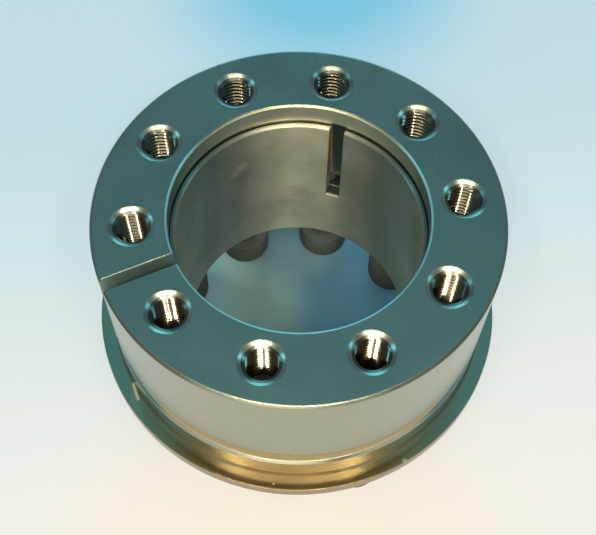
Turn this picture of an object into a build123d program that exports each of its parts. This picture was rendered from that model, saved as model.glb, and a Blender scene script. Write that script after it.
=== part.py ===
from build123d import *
import os
from math import radians, tan

# Keyless locking assembly: two slit rings with mating cones, a loose spacer ring
# and a circle of locking screws. Drawing the cones together grips a shaft in the
# bore and a hub around the outside.
#
# Lengths are in millimetres and angles in degrees. +Z is up, along the axis.
# Z = 0 is the surface that the backed-out screw heads stand on, and the tapped
# rear face of the outer ring is on top.

# Locking screws: socket head cap screws, backed out of the flange. The higher screw,
# given by its number, is left a few turns further in than the others.
screw_count = 10
first_screw_angle = 7.0
thread_diameter = 10.0
thread_clearance = 0.05
screw_length = 55.0
threaded_length = 32.0
tip_chamfer = 1.0
head_diameter = 16.0
head_height = 10.0
head_chamfer = 1.0
socket_across_flats = 8.0
socket_depth = 5.0
socket_floor_rise = 1.2
head_standoff = 12.5
higher_screw = 8
higher_screw_rise = 4.5

# Cones.
shaft_diameter = 66.675
thin_end_wall = 1.3625
cone_clearance = 0.1
taper_slope = 0.075
bore_land_length = 6.0

# Inner ring: a cone with an integral flange.
flange_thickness = 8.5
inner_ring_setback = 7.5
inner_slot_width = 4.3
inner_slot_angle = 72.2
inner_slot_above_flange = 14.0
flange_chamfer = 0.8
shaft_bore_chamfer = 0.4
thin_end_edge_break = 0.2
screw_hole_clearance = 0.25
screw_hole_chamfer = 0.4
jacking_hole_count = 2
spacings_to_jacking_hole = 3.5

# Spacer ring: a collar that enters the hub, with a lip that stops it.
spacer_bore_clearance = 0.3
spacer_web = 1.6975
lip_thickness = 4.0
lip_width = 4.5
lip_edge_break = 0.15
collar_length = 9.5
collar_relief = 0.1
collar_chamfer = 0.8
spacer_bore_chamfer = 0.6

# Outer ring.
ring_gap = 6.8
outer_ring_length = 34.7
outer_wall = 5.9
outer_ring_chamfer = 0.65
rear_bore_chamfer = 0.5
front_bore_chamfer = 0.5
outer_slit_width = 3.5
spacings_to_outer_slit = 5.5
countersink_width = 1.1
countersink_angle = 120.0

# Heights, from the standing surface up.
flange_bottom = head_height + head_standoff
flange_top = flange_bottom + flange_thickness
lip_top = flange_top + lip_thickness
collar_top = lip_top + collar_length
outer_ring_bottom = collar_top + ring_gap
outer_ring_top = outer_ring_bottom + outer_ring_length
cone_top = outer_ring_top - bore_land_length
inner_ring_top = outer_ring_top - inner_ring_setback
inner_slot_bottom = flange_top + inner_slot_above_flange

# Radii, from the shaft out.
shaft_radius = shaft_diameter / 2
bore_land_radius = shaft_radius + thin_end_wall + cone_clearance
cone_front_radius = bore_land_radius + taper_slope * (cone_top - outer_ring_bottom)
neck_radius = cone_front_radius - cone_clearance
spacer_bore_radius = neck_radius + spacer_bore_clearance
screw_hole_radius = thread_diameter / 2 + screw_hole_clearance
screw_circle_radius = spacer_bore_radius + spacer_web + screw_hole_radius
hub_bore_radius = screw_circle_radius + thread_diameter / 2 + outer_wall
collar_radius = hub_bore_radius - collar_relief
lip_radius = hub_bore_radius + lip_width

# Angles about Z. Each spacings_to_ value counts screw spacings on from the first screw.
screw_spacing = 360 / screw_count
screw_angles = [first_screw_angle + number * screw_spacing for number in range(screw_count)]
outer_slit_angle = first_screw_angle + spacings_to_outer_slit * screw_spacing
first_jacking_angle = first_screw_angle + spacings_to_jacking_hole * screw_spacing
jacking_angles = [
    first_jacking_angle + number * 360 / jacking_hole_count for number in range(jacking_hole_count)
]

# Longer than the assembly is high or wide, for cuts that run right out of it.
through = 2 * outer_ring_top


def turned(*corners):
    """A ring turned about Z from its (radius, height) corners."""
    return revolve(Plane.XZ * make_face(Polyline(*corners, close=True)), Axis.Z)


def round_hole(radius, mouth_width, mouth_angle, bottom, top):
    """A through hole's cutter on the Z axis, with a countersink of this angle at each mouth."""
    depth = mouth_width / tan(radians(mouth_angle / 2))
    shaft = Pos(0, 0, (bottom + top) / 2) * Cylinder(radius, 2 * (top - bottom))
    lower_mouth = Pos(0, 0, bottom + depth / 2) * Cone(radius + mouth_width, radius, depth)
    upper_mouth = Pos(0, 0, top - depth / 2) * Cone(radius, radius + mouth_width, depth)
    return shaft + lower_mouth + upper_mouth


def tapped_hole(bottom, top):
    """A locking or jacking thread's cutter, at the nominal diameter."""
    return round_hole(thread_diameter / 2, countersink_width, countersink_angle, bottom, top)


def clearance_hole(bottom, top):
    """The cutter of a hole that a locking screw passes through."""
    return round_hole(screw_hole_radius, screw_hole_chamfer, 90, bottom, top)


def on_screw_circle(shape, angle):
    """The shape moved from the Z axis to the screw circle, at this angle."""
    return Rot(0, 0, angle) * Pos(screw_circle_radius, 0, 0) * shape


def radial_cut(width, angle, bottom, top):
    """A slab that cuts one side of a ring from the axis outwards."""
    slab = Box(through, width, top - bottom, align=(Align.MIN, Align.CENTER, Align.MIN))
    return Rot(0, 0, angle) * Pos(0, 0, bottom) * slab


def outer_ring():
    """The slit outer ring, with a tapered bore and tapped holes."""
    outside, narrow, wide = hub_bore_radius, bore_land_radius, cone_front_radius
    ring = turned(
        (wide + front_bore_chamfer, outer_ring_bottom),
        (outside - outer_ring_chamfer, outer_ring_bottom),
        (outside, outer_ring_bottom + outer_ring_chamfer),
        (outside, outer_ring_top - outer_ring_chamfer),
        (outside - outer_ring_chamfer, outer_ring_top),
        (narrow + rear_bore_chamfer, outer_ring_top),
        (narrow, outer_ring_top - rear_bore_chamfer),
        (narrow, cone_top),
        (wide - taper_slope * front_bore_chamfer, outer_ring_bottom + front_bore_chamfer),
    )
    hole = tapped_hole(outer_ring_bottom, outer_ring_top)
    ring -= [on_screw_circle(hole, angle) for angle in screw_angles]
    return ring - radial_cut(outer_slit_width, outer_slit_angle, 0, through)


def inner_ring():
    """The inner ring: a thin cone, a neck and the flange that the screws draw up."""
    thin_radius = bore_land_radius + taper_slope * (cone_top - inner_ring_top) - cone_clearance
    break_top = inner_ring_top - thin_end_edge_break
    ring = turned(
        (shaft_radius, flange_bottom + shaft_bore_chamfer),
        (shaft_radius + shaft_bore_chamfer, flange_bottom),
        (hub_bore_radius - flange_chamfer, flange_bottom),
        (hub_bore_radius, flange_bottom + flange_chamfer),
        (hub_bore_radius, flange_top - flange_chamfer),
        (hub_bore_radius - flange_chamfer, flange_top),
        (neck_radius, flange_top),
        (neck_radius, outer_ring_bottom),
        (thin_radius + taper_slope * thin_end_edge_break, break_top),
        (thin_radius - thin_end_edge_break, inner_ring_top),
        (shaft_radius + shaft_bore_chamfer, inner_ring_top),
        (shaft_radius, inner_ring_top - shaft_bore_chamfer),
    )
    screw_hole = clearance_hole(flange_bottom, flange_top)
    ring -= [on_screw_circle(screw_hole, angle) for angle in screw_angles]
    jacking_hole = tapped_hole(flange_bottom, flange_top)
    ring -= [on_screw_circle(jacking_hole, angle) for angle in jacking_angles]
    return ring - radial_cut(inner_slot_width, inner_slot_angle, inner_slot_bottom, through)


def spacer_ring():
    """The loose ring between flange and outer ring, with the hub's stop lip."""
    ring = turned(
        (spacer_bore_radius + spacer_bore_chamfer, flange_top),
        (lip_radius - lip_edge_break, flange_top),
        (lip_radius, flange_top + lip_edge_break),
        (lip_radius, lip_top - lip_edge_break),
        (lip_radius - lip_edge_break, lip_top),
        (collar_radius, lip_top),
        (collar_radius, collar_top - collar_chamfer),
        (collar_radius - collar_chamfer, collar_top),
        (spacer_bore_radius + spacer_bore_chamfer, collar_top),
        (spacer_bore_radius, collar_top - spacer_bore_chamfer),
        (spacer_bore_radius, flange_top + spacer_bore_chamfer),
    )
    hole = clearance_hole(flange_top, collar_top)
    return ring - [on_screw_circle(hole, angle) for angle in screw_angles]


def locking_screw():
    """One socket head cap screw on the Z axis, head down on the standing surface."""
    head_radius = head_diameter / 2
    shank_radius = thread_diameter / 2
    thread_radius = shank_radius - thread_clearance
    tip = head_height + screw_length
    thread_start = tip - threaded_length
    screw = turned(
        (0, 0),
        (head_radius - head_chamfer, 0),
        (head_radius, head_chamfer),
        (head_radius, head_height),
        (shank_radius, head_height),
        (shank_radius, thread_start),
        (thread_radius, thread_start),
        (thread_radius, tip - tip_chamfer),
        (thread_radius - tip_chamfer, tip),
        (0, tip),
    )
    hexagon = RegularPolygon(socket_across_flats / 2, 6, major_radius=False)
    socket = extrude(hexagon, socket_depth)
    floor_radius = socket_across_flats / 2
    socket += Pos(0, 0, socket_depth + socket_floor_rise / 2) * Cone(floor_radius, 0, socket_floor_rise)
    return screw - socket


os.makedirs("parts", exist_ok=True)
export_step(outer_ring(), "parts/outer_ring.step")
export_step(inner_ring(), "parts/inner_ring.step")
export_step(spacer_ring(), "parts/spacer_ring.step")
screw = locking_screw()
for number, angle in enumerate(screw_angles, start=1):
    rise = higher_screw_rise if number == higher_screw else 0
    export_step(on_screw_circle(Pos(0, 0, rise) * screw, angle), f"parts/locking_screw_{number:02d}.step")
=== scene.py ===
from math import cos, pi, radians, sin, tan

import bmesh
import bpy
from mathutils import Matrix, Vector

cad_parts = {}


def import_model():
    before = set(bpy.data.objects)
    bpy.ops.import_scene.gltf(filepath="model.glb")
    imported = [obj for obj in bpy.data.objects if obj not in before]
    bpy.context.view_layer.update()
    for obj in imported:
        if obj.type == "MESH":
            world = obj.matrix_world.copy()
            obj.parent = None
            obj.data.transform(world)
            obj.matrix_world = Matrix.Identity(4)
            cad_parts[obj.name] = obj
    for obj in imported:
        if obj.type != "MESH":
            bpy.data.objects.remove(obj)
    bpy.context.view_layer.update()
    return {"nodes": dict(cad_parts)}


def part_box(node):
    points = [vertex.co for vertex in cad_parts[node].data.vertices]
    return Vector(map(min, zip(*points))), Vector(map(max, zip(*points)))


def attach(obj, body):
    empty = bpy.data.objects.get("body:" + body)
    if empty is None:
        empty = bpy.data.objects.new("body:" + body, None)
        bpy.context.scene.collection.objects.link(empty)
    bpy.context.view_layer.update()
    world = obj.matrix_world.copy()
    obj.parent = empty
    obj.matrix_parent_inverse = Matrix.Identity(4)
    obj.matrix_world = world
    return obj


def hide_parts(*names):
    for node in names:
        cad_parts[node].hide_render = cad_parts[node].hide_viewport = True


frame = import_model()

# Looks of the keyless locking assembly: steel rings with tapped holes and black screws.
# Lengths are in metres. +Z is up, along the axis, and +Y points away from the camera.
MM = 0.001

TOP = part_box("outer_ring")[1].z
OUTER_RING_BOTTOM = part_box("outer_ring")[0].z
HUB_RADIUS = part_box("outer_ring")[1].x
SCREW_NODES = sorted(name for name in frame["nodes"] if name.startswith("locking_screw"))

# Ring sizes, as in the CAD.
BORE_LAND_RADIUS = 34.8 * MM
CONE_TOP = 80.0 * MM
SLOT_BOTTOM = 45.0 * MM
COLLAR_TOP = 44.5 * MM
COLLAR_RADIUS = 54.9 * MM
LIP_TOP = 35.0 * MM
LIP_RADIUS = 59.5 * MM

# Screw and hole sizes, as in the CAD, with a screw's heights from the face of its head. The
# CAD has no thread: the pitch is that of an ordinary M10 screw.
PITCH = 1.5 * MM
HEAD_RADIUS = 8.0 * MM
HEAD_HEIGHT = 10.0 * MM
HEAD_CHAMFER = 1.0 * MM
SOCKET_APOTHEM = 4.0 * MM
SOCKET_DEPTH = 5.0 * MM
SOCKET_FLOOR_RISE = 1.2 * MM
THREAD_START = 33.0 * MM
SCREW_TIP = 65.0 * MM
TIP_CHAMFER = 1.0 * MM
COUNTERSINK_RADIUS = 6.1 * MM
TAPPED_RADIUS = 5.0 * MM

# A countersink of 120 degrees narrows by this much for each length of its depth.
COUNTERSINK_SLOPE = tan(radians(60))
TAPPED_DEPTH = (COUNTERSINK_RADIUS - TAPPED_RADIUS) / COUNTERSINK_SLOPE

# Thread profile, with a little play between screw and hole. The shank is a little thinner
# than the CAD's, as wide as the roots of the hole's thread.
HOLE_CREST, HOLE_ROOT = 4.25 * MM, 4.97 * MM
SCREW_CREST, SCREW_ROOT = 4.87 * MM, 4.15 * MM
SHANK_RADIUS = 4.97 * MM
FLANK = tan(radians(30))
PLAY = 0.06 * MM

# Detail of the screws' heads that the CAD doesn't have.
KNURL_RIDGES = 60
KNURL_DEPTH = 0.22 * MM
KNURL_RUN_OUT = 0.3 * MM
SOCKET_FLARE = 0.2 * MM
SOCKET_FLARE_DEPTH = 0.25 * MM

# Scales of the marks on steel, per metre, and how far the turned marks wander in a radian.
GROOVE_SCALE = 1 / (0.35 * MM)
STAIN_SCALE = 55.0
MOTTLE_SCALE = 420.0
GROOVE_WANDER = 2 * MM

# The floor's half width, how bright it glows, and the glow's part in what is seen of it.
FLOOR_REACH = 2.0
FLOOR_GLOW = 1.2
FLOOR_GLOW_SHARE = 0.6

# Points of a mesh round a thread and round a screw's head.
THREAD_SEGMENTS = 36
HEAD_SEGMENTS = 2 * KNURL_RIDGES

# Points closer than this are one, and edges sharper than this many degrees stay sharp.
SAME_POINT = 0.0005 * MM
SHARP_ANGLE = 32

# How far a thread's insert stays off the wall and the mouth of its hole.
WALL_GAP = 0.004 * MM
MOUTH_GAP = 0.003 * MM


def screw_axis(name):
    """Where a screw's axis meets the standing surface, from its CAD box."""
    low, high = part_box(name)
    return Vector(((low.x + high.x) / 2, (low.y + high.y) / 2, 0))


def screw_foot(name):
    """The middle of the face of a screw's head, which is its lowest, from its CAD box."""
    return screw_axis(name) + Vector((0, 0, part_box(name)[0].z))


# ---------------------------------------------------------------- nodes

def node(tree, kind, settings=None, **inputs):
    """A shader node with its settings and inputs. A name such as _0 is a socket's index."""
    made = tree.nodes.new("ShaderNode" + kind)
    for name, value in (settings or {}).items():
        setattr(made, name, value)
    for name, value in inputs.items():
        socket = made.inputs[int(name[1:]) if name[0] == "_" else name.replace("_", " ")]
        if isinstance(value, bpy.types.NodeSocket):
            tree.links.new(value, socket)
        else:
            socket.default_value = value
    return made


def maths(tree, operation, first, second=0.0):
    """The result of one operation on numbers."""
    return node(tree, "Math", {"operation": operation}, _0=first, _1=second).outputs[0]


def product(tree, first, *others):
    """All the values multiplied, from left to right."""
    for other in others:
        first = maths(tree, "MULTIPLY", first, other)
    return first


def ramp(tree, value, low, high, result_low=0.0, result_high=1.0):
    """A smooth step from result_low to result_high as value goes from low to high."""
    step = node(tree, "MapRange", {"interpolation_type": "SMOOTHSTEP"}, Value=value)
    step.inputs["From Min"].default_value = low
    step.inputs["From Max"].default_value = high
    step.inputs["To Min"].default_value = result_low
    step.inputs["To Max"].default_value = result_high
    return step.outputs[0]


def within(tree, value, low, high, soft):
    """1 between low and high, 0 outside them, soft in between."""
    return product(tree, ramp(tree, value, low - soft, low), ramp(tree, value, high + soft, high))


def by_distance(tree, place, middle, start, full):
    """A share that goes from 0 at the start distance from the middle to 1 at the full one."""
    off = node(tree, "VectorMath", {"operation": "DISTANCE"}, _0=place, _1=middle).outputs["Value"]
    return ramp(tree, off, start, full)


def blend(tree, share, first, second):
    """The first colour where share is 0, and the second where it is 1."""
    mixed = node(tree, "Mix", {"data_type": "RGBA"}, Factor=share, _6=first, _7=second)
    return mixed.outputs[2]


def noise(tree, vector, scale, detail, roughness):
    """Soft random values round one half. scale is in patterns per metre."""
    made = node(tree, "TexNoise", None, Vector=vector, Scale=scale, Detail=detail, Roughness=roughness)
    return made.outputs[0]


def rgb(red, green, blue):
    """A colour as the nodes take it, with full alpha."""
    return (red, green, blue, 1.0)


def measures(tree, place):
    """A place's side and depth, which are its X and Y, its height, its distance from the
    axis, and its angle about the axis in degrees past -Y."""
    parts = node(tree, "SeparateXYZ", None, Vector=place).outputs
    flat = node(tree, "CombineXYZ", None, X=parts["X"], Y=parts["Y"])
    radius = node(tree, "VectorMath", {"operation": "LENGTH"}, _0=flat.outputs[0]).outputs["Value"]
    front = maths(tree, "MULTIPLY", parts["Y"], -1.0)
    angle = maths(tree, "MULTIPLY", maths(tree, "ARCTAN2", parts["X"], front), 180 / pi)
    return {"side": parts["X"], "depth": parts["Y"], "height": parts["Z"], "radius": radius, "angle": angle}


# ---------------------------------------------------------------- stage

def camera():
    """The view: from above and in front, rolled a little."""
    data = bpy.data.cameras.new("camera")
    data.lens = 63.42
    data.sensor_width = 36.0
    data.clip_start = 0.01
    obj = bpy.data.objects.new("camera", data)
    bpy.context.scene.collection.objects.link(obj)
    place = Vector((0, -0.14625, TOP + 0.23481))
    aim = Vector((0, -0.01668, TOP))
    roll_degrees = 1.212
    away = (place - aim).normalized()
    right = Matrix.Rotation(radians(roll_degrees), 3, away) @ Vector((1, 0, 0))
    up = away.cross(right)
    obj.matrix_world = Matrix.Translation(place) @ Matrix((right, up, away)).transposed().to_4x4()
    bpy.context.scene.camera = obj


def direction_mask(tree, direction, aim, inner, outer):
    """1 within inner degrees of aim, 0 beyond outer degrees."""
    dot = node(tree, "VectorMath", {"operation": "DOT_PRODUCT"}, _0=direction, _1=Vector(aim).normalized())
    return ramp(tree, dot.outputs["Value"], cos(radians(outer)), cos(radians(inner)))


def world():
    """A soft room: teal above the back, cyan low round it, warm and bright in front."""
    made = bpy.data.worlds.new("room")
    bpy.context.scene.world = made
    made.use_nodes = True
    tree = made.node_tree
    tree.nodes.clear()
    direction = node(tree, "TexCoord").outputs["Generated"]
    height = node(tree, "SeparateXYZ", None, Vector=direction).outputs["Z"]
    colour = blend(tree, ramp(tree, height, 0.10, 0.45), rgb(0.16, 0.36, 0.42), rgb(0.22, 0.20, 0.14))
    teal = blend(tree, ramp(tree, height, 0.75, 0.86), rgb(0.092, 0.140, 0.188), rgb(0.122, 0.335, 0.420))
    # Patches of light, each over those before it: its direction, how many degrees from that
    # it is full and how many it reaches, and its colour.
    patches = [
        ((0, -0.62, 0.78), 34, 52, rgb(0.12, 0.09, 0.05)),  # brown, over the front
        ((0, 0.46, 0.89), 44, 60, teal),  # over the back
        ((0, 0.93, 0.37), 12, 20, rgb(0.75, 2.50, 3.10)),  # cyan, low at the back
        ((0, -0.20, 0.98), 16, 30, rgb(0.52, 0.56, 0.47)),  # grey, overhead
        ((-0.12, -0.92, 0.33), 8, 26, rgb(2.1, 1.75, 1.20)),  # cream, low in front
        ((0, -0.30, 0.954), 9, 15, rgb(1.9, 1.75, 1.5)),  # white, overhead
    ]
    for side in (-1, 1):
        # Cream at the front's corners, and a small cyan one high at each side.
        patches.append(((0.66 * side, -0.71, 0.23), 12, 24, rgb(0.80, 0.77, 0.58)))
        patches.append(((0.78 * side, 0.13, 0.60), 3, 8, rgb(1.4, 4.6, 6.0)))
    for aim, inner, outer, light in patches:
        colour = blend(tree, direction_mask(tree, direction, aim, inner, outer), colour, light)
    background = node(tree, "Background", None, Color=colour, Strength=1.0)
    tree.links.new(background.outputs[0], node(tree, "OutputWorld").inputs["Surface"])


def lamp(name, place, width, length, watts, colour):
    """A lamp that faces the middle of the rear face, which its place is measured from. Its
    length lies as near to Y as that allows."""
    data = bpy.data.lights.new(name, "AREA")
    data.shape = "ELLIPSE"
    data.size = width
    data.size_y = length
    data.energy = watts
    data.color = colour
    obj = bpy.data.objects.new(name, data)
    bpy.context.scene.collection.objects.link(obj)
    back = Vector(place).normalized()
    along = (Vector((0, 1, 0)) - back * back.y).normalized()
    turn = Matrix((along.cross(back), along, back)).transposed().to_4x4()
    obj.matrix_world = Matrix.Translation(Vector((0, 0, TOP)) + Vector(place)) @ turn


def floor():
    """A pale floor, warm in front and blue behind. Part of its brightness is its own to the
    camera and in reflections, except under the rings, where it is only lit."""
    mesh = bpy.data.meshes.new("floor")
    corners = [(x * FLOOR_REACH, y * FLOOR_REACH, 0) for x, y in ((-1, -1), (1, -1), (1, 1), (-1, 1))]
    mesh.from_pydata(corners, [], [(0, 1, 2, 3)])
    obj = bpy.data.objects.new("floor", mesh)
    bpy.context.scene.collection.objects.link(obj)
    made = bpy.data.materials.new("floor")
    made.use_nodes = True
    tree = made.node_tree
    place = node(tree, "TexCoord").outputs["Object"]
    parts = node(tree, "SeparateXYZ", None, Vector=place).outputs

    # Round the rings: warm in front to blue behind, a little askew, with a blue patch behind them and a
    # warm patch in front of them that is a painted pool of light.
    askew = maths(tree, "SUBTRACT", parts["Y"], maths(tree, "MULTIPLY", parts["X"], 0.15))
    colour = blend(tree, ramp(tree, askew, -0.07, 0.11), rgb(0.742, 0.737, 0.723), rgb(0.479, 0.642, 0.727))
    warm = by_distance(tree, place, (0, -0.10, 0), 0.11, 0.03)
    colour = blend(tree, warm, colour, rgb(0.81, 0.735, 0.665))
    blue = by_distance(tree, place, (0.005, 0.175, 0), 0.085, 0.02)
    colour = blend(tree, blue, colour, rgb(0.18, 0.50, 0.70))

    # Under the rings, painted light and shade: lit teal and then paler on the left, blue shade on the right
    # and a dark painted shadow at the back.
    under = blend(tree, ramp(tree, parts["X"], -0.005, 0.007), rgb(0.26, 0.43, 0.47), rgb(0.14, 0.33, 0.52))
    under = blend(tree, ramp(tree, parts["X"], -0.012, -0.026), under, rgb(0.34, 0.57, 0.63))
    dark = by_distance(tree, place, (-0.003, 0.042, 0), 0.026, 0.006)
    under = blend(tree, dark, under, rgb(0.11, 0.21, 0.25))

    beside = by_distance(tree, place, (0, 0.015, 0), 0.040, 0.062)
    lit = node(tree, "BsdfDiffuse", None, Color=blend(tree, beside, under, colour))
    glow = node(tree, "Emission", None, Color=colour, Strength=FLOOR_GLOW)
    path = node(tree, "LightPath").outputs
    seen = maths(tree, "MAXIMUM", path["Is Camera Ray"], path["Is Glossy Ray"])
    seen = maths(tree, "MAXIMUM", seen, path["Is Transmission Ray"])
    share = product(tree, seen, beside, FLOOR_GLOW_SHARE)
    mixed = node(tree, "MixShader", None, _0=share, _1=lit.outputs[0], _2=glow.outputs[0])
    tree.nodes.remove(tree.nodes["Principled BSDF"])
    tree.links.new(mixed.outputs[0], tree.nodes["Material Output"].inputs["Surface"])
    mesh.materials.append(made)


# ---------------------------------------------------------------- areas

def area(**limits):
    """A mask for the places inside all the limits, which are on what measures gives. Each is
    (where its share starts, where it is full) or (low, high, soft)."""
    def mask(tree, place):
        values = measures(tree, place)
        shares = [
            (ramp if len(limit) == 2 else within)(tree, values[name], *limit)
            for name, limit in limits.items()
        ]
        return product(tree, *shares)
    return mask


def spot(middle, reach, soft):
    """A mask for a small mark round one place."""
    def mask(tree, place):
        return by_distance(tree, place, middle, reach + soft, reach)
    return mask


def on_ring(radius, degrees, height):
    """A place at this radius, height and angle past -Y, in millimetres."""
    angle = radians(degrees)
    return (radius * sin(angle) * MM, -radius * cos(angle) * MM, height * MM)


def slit_faces(tree, place):
    """The sides of a slit: upright faces that look round the axis."""
    normal = node(tree, "NewGeometry").outputs["True Normal"]
    across = node(tree, "VectorMath", {"operation": "CROSS_PRODUCT"}, _0=normal, _1=place)
    turn = node(tree, "SeparateXYZ", None, Vector=across.outputs[0]).outputs["Z"]
    radius = measures(tree, place)["radius"]
    return ramp(tree, maths(tree, "DIVIDE", maths(tree, "ABSOLUTE", turn), radius), 0.85, 0.95)


def outer_chamfer_shade(tree, place):
    """Where the outer ring's outside chamfer at the rear is painted dark as painted shade: all round, apart
    from a short way round the front.
    """
    chamfer = area(radius=(HUB_RADIUS - 0.75 * MM, HUB_RADIUS - 0.6 * MM),
                   height=(TOP - 0.75 * MM, TOP - 0.6 * MM))(tree, place)
    front = area(angle=(-22, 17, 10))(tree, place)
    return product(tree, chamfer, maths(tree, "SUBTRACT", 1.0, front))


# The outer ring's tapered bore, seen through the inner ring's slot, painted dark as painted shade.
cone_face_shade = area(radius=(38.5 * MM, 37.6 * MM), height=(CONE_TOP + 0.4 * MM, CONE_TOP - 0.6 * MM))

# The chamfer at the rear mouth of the outer ring's bore, painted cyan as a painted reflection.
rear_chamfer_reflection = area(radius=(BORE_LAND_RADIUS + 0.65 * MM, BORE_LAND_RADIUS + 0.5 * MM),
                    height=(TOP - 0.55 * MM, TOP - 0.4 * MM), angle=(-112, 118, 25))

# The plain rear part of the outer ring's bore, on the far side, painted much lighter as painted light.
rear_land_light = area(radius=(BORE_LAND_RADIUS + 0.3 * MM, BORE_LAND_RADIUS + 0.1 * MM),
                 height=(CONE_TOP - 0.4 * MM, CONE_TOP + 0.2 * MM), depth=(8 * MM, 32 * MM))

# The lower end of the inner ring's slot, behind its inner edge, painted near black as painted shade.
slot_floor_shade = area(height=(SLOT_BOTTOM - 0.2 * MM, SLOT_BOTTOM + 0.2 * MM, 0.1 * MM),
                  radius=(33.8 * MM, 34.3 * MM))

# The spacer ring's upper face where the outer ring covers it: dull, and painted lighter as painted light in
# the gap; deep in the gap it is painted dark as painted shade.
collar_face_height = (COLLAR_TOP - 0.2 * MM, COLLAR_TOP - 0.05 * MM)
collar_top_light = area(height=collar_face_height, radius=(COLLAR_RADIUS - 0.7 * MM, COLLAR_RADIUS - 1.0 * MM))
collar_gap_shade = area(height=collar_face_height, radius=(49 * MM, 46 * MM))

# The lip's upper face all the way round; its part in front, painted brown as a painted amber reflection;
# and its rim, painted dark brown as painted shade.
lip_face = area(radius=(COLLAR_RADIUS, COLLAR_RADIUS + 0.2 * MM),
                height=(LIP_TOP - 0.2 * MM, LIP_TOP + 0.2 * MM, 0.1 * MM))
lip_amber_reflection = area(radius=(COLLAR_RADIUS + 0.1 * MM, COLLAR_RADIUS + 0.3 * MM),
                 height=(LIP_TOP - 0.6 * MM, LIP_TOP - 0.2 * MM), angle=(-26, 22, 16))
lip_side_shade = area(radius=(LIP_RADIUS - 0.2 * MM, LIP_RADIUS - 0.05 * MM),
                height=(LIP_TOP + 0.2 * MM, LIP_TOP - 0.05 * MM))

# The corner between lip and collar, painted darker as painted shade, and the brown line in it for a short
# way round the front, which is a painted shadow.
corner = {"radius": (COLLAR_RADIUS + 0.7 * MM, COLLAR_RADIUS + 0.35 * MM),
          "height": (LIP_TOP + 0.9 * MM, LIP_TOP + 0.3 * MM)}
crease_shade = area(**corner)
foot_shadow_line = area(**corner, angle=(-14, 13.5, 0.8))

# The part of a tapped hole's insert that carries on the ring's countersink, painted darker as painted
# shade.
cone_mouth_shade = area(height=(TOP - 1.12 * MM, TOP - 1.06 * MM))


# ---------------------------------------------------------------- materials

def steel(name, dark, light, roughness, marks, areas, edge=0.4 * MM, grain=0.35, stretch=0.0):
    """Turned steel: fine marks that run round the axis, soft stains and rounded edges. marks
    is how deep the marks look, edge the rounding's radius, grain the marks' part in the tone
    and stretch how far reflections stretch across the marks. Each of the areas is (mask,
    colour, roughness), where a later one covers an earlier one."""
    made = bpy.data.materials.new(name)
    made.use_nodes = True
    tree = made.node_tree
    shader = tree.nodes["Principled BSDF"]
    place = node(tree, "TexCoord").outputs["Object"]
    at = measures(tree, place)
    turn = maths(tree, "ARCTAN2", at["depth"], at["side"])
    across = maths(tree, "ADD", at["radius"], at["height"])
    groove_place = node(tree, "CombineXYZ", None, X=across, Y=maths(tree, "MULTIPLY", turn, GROOVE_WANDER))
    grooves = noise(tree, groove_place.outputs[0], GROOVE_SCALE, detail=3.0, roughness=0.7)
    stains = noise(tree, place, STAIN_SCALE, detail=4.0, roughness=0.6)
    groove_part = maths(tree, "MULTIPLY", grooves, grain)
    tone = maths(tree, "ADD", groove_part, maths(tree, "MULTIPLY", stains, 1 - grain))
    colour = blend(tree, ramp(tree, tone, 0.3, 0.7), dark, light)
    rough = ramp(tree, stains, 0.2, 0.8, roughness - 0.02, roughness + 0.03)
    for mask, area_colour, area_roughness in areas:
        share = mask(tree, place)
        colour = blend(tree, share, colour, area_colour)
        change = maths(tree, "MULTIPLY", maths(tree, "SUBTRACT", area_roughness, rough), share)
        rough = maths(tree, "ADD", rough, change)
    tree.links.new(colour, shader.inputs["Base Color"])
    tree.links.new(rough, shader.inputs["Roughness"])
    shader.inputs["Metallic"].default_value = 1.0
    if stretch:
        shader.inputs["Anisotropic"].default_value = stretch
        shader.inputs["Anisotropic Rotation"].default_value = 0.25
        around = node(tree, "Tangent", {"direction_type": "RADIAL", "axis": "Z"})
        tree.links.new(around.outputs[0], shader.inputs["Tangent"])
    rounded = node(tree, "Bevel", {"samples": 6}, Radius=edge).outputs[0]
    bump = node(tree, "Bump", None, Strength=marks, Distance=0.02 * MM, Height=grooves, Normal=rounded)
    tree.links.new(bump.outputs[0], shader.inputs["Normal"])
    return made


def black_oxide():
    """Blackened screw steel with a light film of oil."""
    made = bpy.data.materials.new("black_oxide")
    made.use_nodes = True
    tree = made.node_tree
    shader = tree.nodes["Principled BSDF"]
    place = node(tree, "TexCoord").outputs["Object"]
    mottle = noise(tree, place, MOTTLE_SCALE, detail=4.0, roughness=0.6)
    colour = blend(tree, ramp(tree, mottle, 0.35, 0.65), rgb(0.068, 0.084, 0.077), rgb(0.080, 0.097, 0.089))
    tree.links.new(colour, shader.inputs["Base Color"])
    tree.links.new(ramp(tree, mottle, 0.3, 0.7, 0.66, 0.78), shader.inputs["Roughness"])
    bump = node(tree, "Bump", None, Strength=0.25, Distance=0.03 * MM, Height=mottle)
    tree.links.new(bump.outputs[0], shader.inputs["Normal"])
    return made


def dress(obj, material):
    """Give the object this material and no other."""
    obj.data.materials.clear()
    obj.data.materials.append(material)


# ---------------------------------------------------------------- meshes

def piece(name, vertices, faces):
    """A mesh object with doubled points joined and sharp corners kept sharp."""
    mesh = bpy.data.meshes.new(name)
    mesh.from_pydata(vertices, [], faces)
    work = bmesh.new()
    work.from_mesh(mesh)
    bmesh.ops.remove_doubles(work, verts=work.verts, dist=SAME_POINT)
    bmesh.ops.dissolve_degenerate(work, dist=SAME_POINT, edges=work.edges)
    bmesh.ops.recalc_face_normals(work, faces=work.faces)
    work.to_mesh(mesh)
    work.free()
    mesh.shade_smooth()
    mesh.set_sharp_from_angle(angle=radians(SHARP_ANGLE))
    obj = bpy.data.objects.new(name, mesh)
    bpy.context.scene.collection.objects.link(obj)
    return obj


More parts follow.
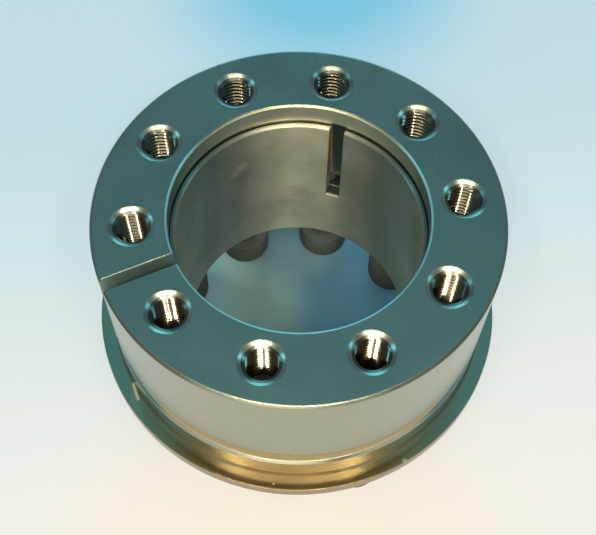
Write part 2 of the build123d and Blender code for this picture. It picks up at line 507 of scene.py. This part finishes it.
def lathe(rings, segments):
    """Points and faces turned about Z: each ring is (radius or radius-of-angle, height)."""
    vertices, faces = [], []
    for radius, height in rings:
        for step in range(segments):
            angle = 2 * pi * step / segments
            reach = radius(angle) if callable(radius) else radius
            vertices.append((reach * cos(angle), reach * sin(angle), height))
    for ring in range(len(rings) - 1):
        for step in range(segments):
            this = ring * segments + step
            following = ring * segments + (step + 1) % segments
            faces.append((this, following, following + segments, this + segments))
    return vertices, faces


def helix_sheet(profile, start, end, limit):
    """A threaded surface from start to end. profile is (radius, share of a pitch) points over
    one pitch, and limit bends each point's radius at its height, where the thread runs out."""
    turns = int((end - start) / PITCH) + 2
    vertices, faces = [], []
    wide = len(profile)
    count = turns * THREAD_SEGMENTS + 1
    for step in range(count):
        angle = 2 * pi * step / THREAD_SEGMENTS
        for radius, share in profile:
            height = start + PITCH * (step / THREAD_SEGMENTS + share - 1)
            height = min(max(height, start), end)
            reach = limit(radius, height)
            vertices.append((reach * cos(angle), reach * sin(angle), height))
    for step in range(count - 1):
        for point in range(wide - 1):
            this = step * wide + point
            faces.append((this, this + wide, this + wide + 1, this + 1))
    return vertices, faces


def joined(*parts):
    """The points and faces of several parts as those of one."""
    vertices, faces = [], []
    for part_vertices, part_faces in parts:
        base = len(vertices)
        vertices += part_vertices
        faces += [tuple(index + base for index in face) for face in part_faces]
    return vertices, faces


def moved(part, offset):
    """The part's points moved, with its faces as they were."""
    vertices, faces = part
    return [tuple(Vector(vertex) + offset) for vertex in vertices], faces


def hole_half(radius):
    """Half the width of the hole's ridge at this radius. Its crest is a quarter of a pitch wide."""
    return PITCH / 8 + (radius - HOLE_CREST) * FLANK


def screw_half(radius):
    """Half the width of the screw's ridge at this radius."""
    return PITCH / 2 - hole_half(radius) - PLAY


def tapped_thread(name):
    """The thread in one of the outer ring's holes, cut back by the mouths' countersinks."""
    crest, root = hole_half(HOLE_CREST) / PITCH, hole_half(HOLE_ROOT) / PITCH
    profile = [(HOLE_ROOT, root), (HOLE_ROOT, 1 - root), (HOLE_CREST, 1 - crest),
               (HOLE_CREST, 1 + crest), (HOLE_ROOT, 1 + root)]
    start = OUTER_RING_BOTTOM + TAPPED_DEPTH
    end = TOP - (COUNTERSINK_RADIUS - HOLE_CREST) / COUNTERSINK_SLOPE

    def limit(radius, height):
        front = COUNTERSINK_RADIUS - (height - OUTER_RING_BOTTOM) * COUNTERSINK_SLOPE
        return min(max(radius, front), HOLE_ROOT)

    inner = helix_sheet(profile, start, end, limit)
    wall = TAPPED_RADIUS - WALL_GAP
    outer = lathe([(HOLE_ROOT, start), (wall, start), (wall, TOP - TAPPED_DEPTH - MOUTH_GAP),
                   (HOLE_CREST, end), (HOLE_ROOT, end)], 2 * THREAD_SEGMENTS)
    axis = screw_axis(name.replace("tapped_thread", "locking_screw"))
    obj = piece(name, *moved(joined(inner, outer), axis))
    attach(obj, "outer_ring")
    return obj


def hexagon(apothem):
    """The radius of a hexagon at each angle."""
    return lambda angle: apothem / cos((angle + pi / 6) % (pi / 3) - pi / 6)


def knurl(radius):
    """Straight knurling: every second point round the head lies lower."""
    return lambda angle: radius - KNURL_DEPTH * (round(angle * KNURL_RIDGES / pi) % 2)


def cap_screw(name):
    """A socket head cap screw with a knurled head, in place of its plain solid."""
    core = HEAD_RADIUS - KNURL_DEPTH
    face_radius = HEAD_RADIUS - HEAD_CHAMFER
    front_edge = 0.15 * MM
    chamfer_start = 0.1 * MM
    knurl_start = HEAD_CHAMFER + front_edge
    knurl_end = HEAD_HEIGHT - 0.6 * MM
    back_edge = 0.2 * MM
    shank_end = THREAD_START - 0.9 * MM
    socket_floor_radius = 0.98 * SOCKET_APOTHEM
    head = lathe([
        (0, SOCKET_DEPTH + SOCKET_FLOOR_RISE),
        (socket_floor_radius, SOCKET_DEPTH),
        (hexagon(SOCKET_APOTHEM), SOCKET_DEPTH),
        (hexagon(SOCKET_APOTHEM), SOCKET_FLARE_DEPTH),
        (hexagon(SOCKET_APOTHEM + SOCKET_FLARE), 0),
        (face_radius - front_edge, 0),
        (face_radius + chamfer_start, chamfer_start),
        (core, HEAD_CHAMFER - front_edge),
        (core, knurl_start),
        (knurl(HEAD_RADIUS), knurl_start + KNURL_RUN_OUT),
        (knurl(HEAD_RADIUS), knurl_end - KNURL_RUN_OUT),
        (core, knurl_end),
        (core, HEAD_HEIGHT - back_edge),
        (core - back_edge, HEAD_HEIGHT),
        (SHANK_RADIUS, HEAD_HEIGHT),
        (SHANK_RADIUS, shank_end),
        (SCREW_ROOT - 0.05 * MM, THREAD_START),
        (0, THREAD_START),
    ], HEAD_SEGMENTS)

    # The screw's ridges lie halfway between the hole's.
    crest, root = screw_half(SCREW_CREST) / PITCH, screw_half(SCREW_ROOT) / PITCH
    profile = [(SCREW_ROOT, root - 0.5), (SCREW_ROOT, 0.5 - root), (SCREW_CREST, 0.5 - crest),
               (SCREW_CREST, 0.5 + crest), (SCREW_ROOT, 0.5 + root)]
    tip_radius = SCREW_CREST - TIP_CHAMFER

    def limit(radius, height):
        tip = tip_radius + (SCREW_TIP - height)
        run_out = SCREW_ROOT + (height - THREAD_START)
        return min(radius, tip, run_out)

    # The hole's thread starts where its front countersink ends, so the screw's starts from
    # the same height less a whole number of pitches.
    hole_start = OUTER_RING_BOTTOM + TAPPED_DEPTH
    lead = hole_start - PITCH * int((hole_start - THREAD_START) / PITCH + 1)
    thread_vertices, thread_faces = helix_sheet(profile, lead, SCREW_TIP, limit)
    clipped = ([(x, y, max(z, THREAD_START)) for x, y, z in thread_vertices], thread_faces)
    start_disc = lathe([(0, THREAD_START), (SCREW_ROOT, THREAD_START)], THREAD_SEGMENTS)
    tip_disc = lathe([(tip_radius, SCREW_TIP), (0, SCREW_TIP)], THREAD_SEGMENTS)
    obj = piece(name.replace("locking_screw", "cap_screw"),
                *moved(joined(head, clipped, start_disc, tip_disc), screw_foot(name)))
    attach(obj, name)
    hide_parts(name)
    return obj


# ---------------------------------------------------------------- the scene

bpy.context.scene.view_settings.view_transform = "Standard"
camera()
world()
floor()

# Two short lamps make the bands of light in the bore, and two long ones the bright streaks
# down the threads.
cream = (1.0, 0.90, 0.68)
lamp("band_left", (-0.20, -0.71, 0.94), width=0.05, length=0.11, watts=3.1, colour=cream)
lamp("band_right", (0.14, -0.71, 0.95), width=0.05, length=0.11, watts=5.2, colour=cream)
for side in (-1, 1):
    place = (0.31 * side, -0.53, 0.98)
    lamp(f"streak_{side}", place, width=0.028, length=0.38, watts=2.8, colour=(1.0, 0.88, 0.66))

outer_steel = steel(
    "outer_ring_steel", rgb(0.336, 0.374, 0.311), rgb(0.356, 0.396, 0.330),
    roughness=0.27, marks=0.01, edge=0.5 * MM, grain=0.1,
    areas=(
        (slit_faces, rgb(0.34, 0.45, 0.43), 0.6),
        # Painted shade on the tapered bore seen through the slot.
        (cone_face_shade, rgb(0.13, 0.13, 0.11), 0.22),
        # Painted shade on the outside chamfer, away from the front.
        (outer_chamfer_shade, rgb(0.17, 0.17, 0.13), 0.4),
        # Painted light on the far side of the rear land.
        (rear_land_light, rgb(0.98, 0.93, 0.70), 0.36),
        # A painted cyan reflection on the bore's rear chamfer.
        (rear_chamfer_reflection, rgb(0.48, 0.85, 0.90), 0.45),
    ))
inner_steel = steel(
    "inner_ring_steel", rgb(0.36, 0.37, 0.31), rgb(0.49, 0.50, 0.42),
    roughness=0.40, marks=0.12, stretch=0.9,
    areas=(
        (slit_faces, rgb(0.62, 0.52, 0.38), 0.6),
        # Painted shade at the lower end of the slot.
        (slot_floor_shade, rgb(0.035, 0.045, 0.042), 0.5),
        # A pale smudge in the bore.
        (spot(on_ring(33.3, -149, 64.5), 0.3 * MM, 2.6 * MM), rgb(0.64, 0.61, 0.47), 0.43),
        (spot(on_ring(33.3, -145, 62.5), 0.3 * MM, 2.4 * MM), rgb(0.60, 0.57, 0.44), 0.43),
    ))
spacer_steel = steel(
    "spacer_ring_steel", rgb(0.40, 0.42, 0.36), rgb(0.43, 0.45, 0.39),
    roughness=0.20, marks=0.02,
    areas=(
        # Painted light on the collar's covered face, and painted shade deep in the gap.
        (collar_top_light, rgb(0.60, 0.52, 0.36), 0.85),
        (collar_gap_shade, rgb(0.10, 0.12, 0.11), 0.6),
        (lip_face, rgb(0.41, 0.45, 0.32), 0.18),
        # A painted amber reflection on the lip in front, and painted shade on its rim.
        (lip_amber_reflection, rgb(0.355, 0.25, 0.12), 0.16),
        (lip_side_shade, rgb(0.30, 0.25, 0.16), 0.3),
        # Painted shade in the corner, and a painted shadow line at its foot in front.
        (crease_shade, rgb(0.20, 0.18, 0.12), 0.35),
        (foot_shadow_line, rgb(0.24, 0.14, 0.07), 0.5),
        # Small marks on the lip: one nick, one green speck, and a short row of gold dots that is a painted
        # highlight.
        (spot(on_ring(57.9, -5.5, 35.0), 0.1 * MM, 0.3 * MM), rgb(0.60, 0.52, 0.36), 0.5),
        (spot(on_ring(59.1, 32.0, 35.0), 0.2 * MM, 0.9 * MM), rgb(0.30, 0.48, 0.37), 0.5),
        *[(spot(on_ring(55.4 + step * 0.15, -58.8 + step * 0.7, 35.0), 0.1 * MM, 0.6 * MM),
           rgb(0.95, 0.80, 0.45), 0.45) for step in range(8)],
    ))
# The threads' steel is darker than the rings' as painted shade inside the holes, and its mouth darker
# still.
thread_steel = steel(
    "tapped_thread_steel", rgb(0.17, 0.15, 0.11), rgb(0.21, 0.19, 0.14),
    roughness=0.12, marks=0.0, edge=0.05 * MM,
    areas=((cone_mouth_shade, rgb(0.13, 0.13, 0.11), 0.22),))
screw_black = black_oxide()

dress(frame["nodes"]["outer_ring"], outer_steel)
dress(frame["nodes"]["inner_ring"], inner_steel)
dress(frame["nodes"]["spacer_ring"], spacer_steel)
for screw in SCREW_NODES:
    dress(frame["nodes"][screw], screw_black)
    dress(cap_screw(screw), screw_black)
    dress(tapped_thread(screw.replace("locking_screw", "tapped_thread")), thread_steel)
